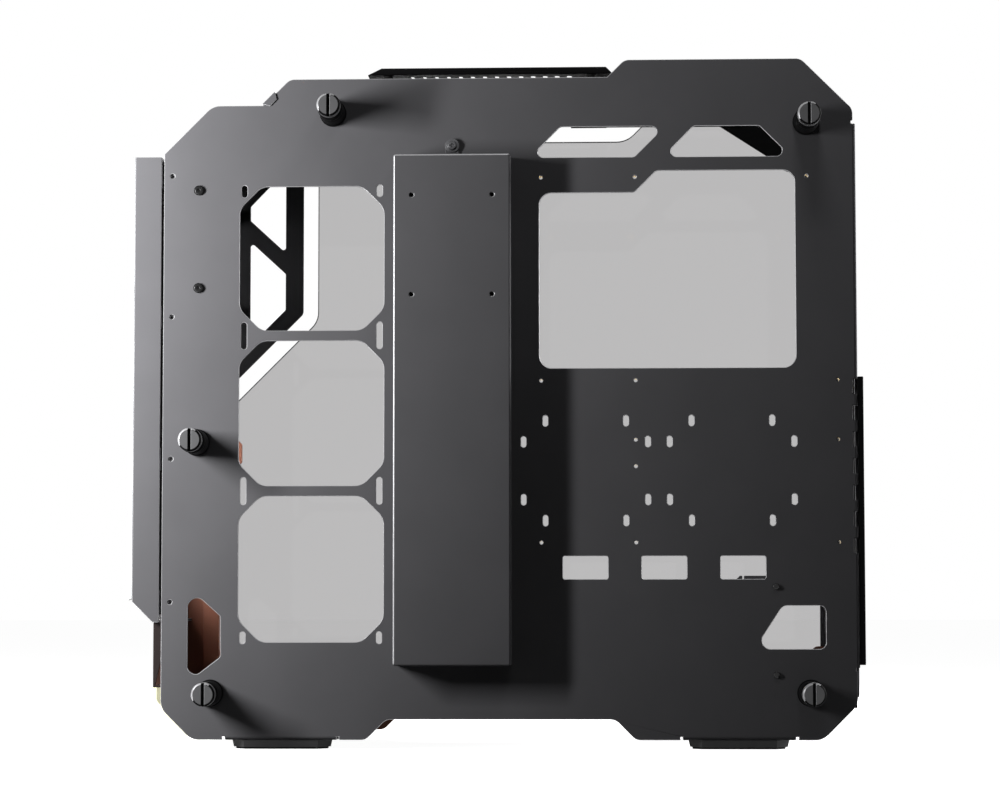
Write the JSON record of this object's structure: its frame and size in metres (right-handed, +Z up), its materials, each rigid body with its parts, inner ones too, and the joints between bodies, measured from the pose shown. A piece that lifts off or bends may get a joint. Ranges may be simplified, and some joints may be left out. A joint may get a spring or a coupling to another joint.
{
  "type": "mid tower pc case",
  "caption": "Open frame mid tower computer case: a large main tray with cut-outs, stand-off thumb knobs, side and front glass, copper coloured lower frame.",
  "frame": {"origin": "middle of the bounding box on the floor under the feet", "axes": "+X towards the cable side, where the tray shows its outer face; +Y towards the rear wall with the expansion slots; +Z up"},
  "size_m": [0.24, 0.572, 0.531],
  "materials": {
    "dark": "satin dark grey powder coat",
    "knob": "dark grey anodised, bright bevel",
    "black_metal": "black",
    "screw": "dark nickel",
    "brass": "plain",
    "copper": "satin copper colour",
    "clear_glass": "lightly tinted, polished",
    "light": "translucent pale yellow",
    "rubber": "matte",
    "plastic": "fine matte",
    "board": "circuit board",
    "socket": "plain"
  },
  "bodies": {
    "case": {"tray_plate": "dark", "rear_wall": "dark", "cable_cover": "dark", "front_frame": "dark", "truss_wing": "dark", "rear_gusset": "dark", "top_fan_tray": "dark", "top_cover": "dark", "front_top_panel": "dark", "slot_rail": "dark", "bottom_tray": "dark", "psu_guide": "dark", "slot_cover_1": "dark", "slot_cover_2": "dark", "slot_cover_3": "dark", "slot_cover_4": "dark", "slot_cover_5": "dark", "slot_cover_6": "dark", "slot_cover_7": "dark", "cable_side_knobs": "knob", "glass_side_knobs": "knob", "cable_side_posts": "black_metal", "glass_side_posts": "black_metal", "tie_rods": "black_metal", "tie_rod_screws": "black_metal", "psu_guide_screws": "black_metal", "slot_cover_screws": "black_metal", "cable_cover_screw": "screw", "motherboard_standoffs": "brass", "copper_frame": "copper", "chin_panel": "copper", "side_glass": "clear_glass", "front_glass": "clear_glass", "chin_light": "light", "glass_washers": "rubber", "top_cover_bumpers": "rubber", "psu_pads": "rubber", "front_right_foot_pad": "rubber", "rear_right_foot_pad": "rubber", "front_left_foot_pad": "rubber", "rear_left_foot_pad": "rubber", "port_board_pillars": "plastic", "power_switch": "plastic", "reset_switch": "plastic", "audio_jack": "plastic", "front_right_foot": "plastic", "rear_right_foot": "plastic", "front_left_foot": "plastic", "rear_left_foot": "plastic", "port_board": "board", "usb_port_upper": "socket", "usb_port_lower": "socket", "usb_small_port": "socket"},
    "power_button": {"power_button": "plastic"},
    "reset_button": {"reset_button": "plastic"}
  },
  "joints": [
    {"name": "power_button_press", "type": "slide", "parent": "case", "child": "power_button", "axis": [0, 0.7071, -0.7071], "range_m": [0, 0.0015], "stiffness_N_per_m": 300},
    {"name": "reset_button_press", "type": "slide", "parent": "case", "child": "reset_button", "axis": [0, 0.7071, -0.7071], "range_m": [0, 0.0015], "stiffness_N_per_m": 300}
  ]
}
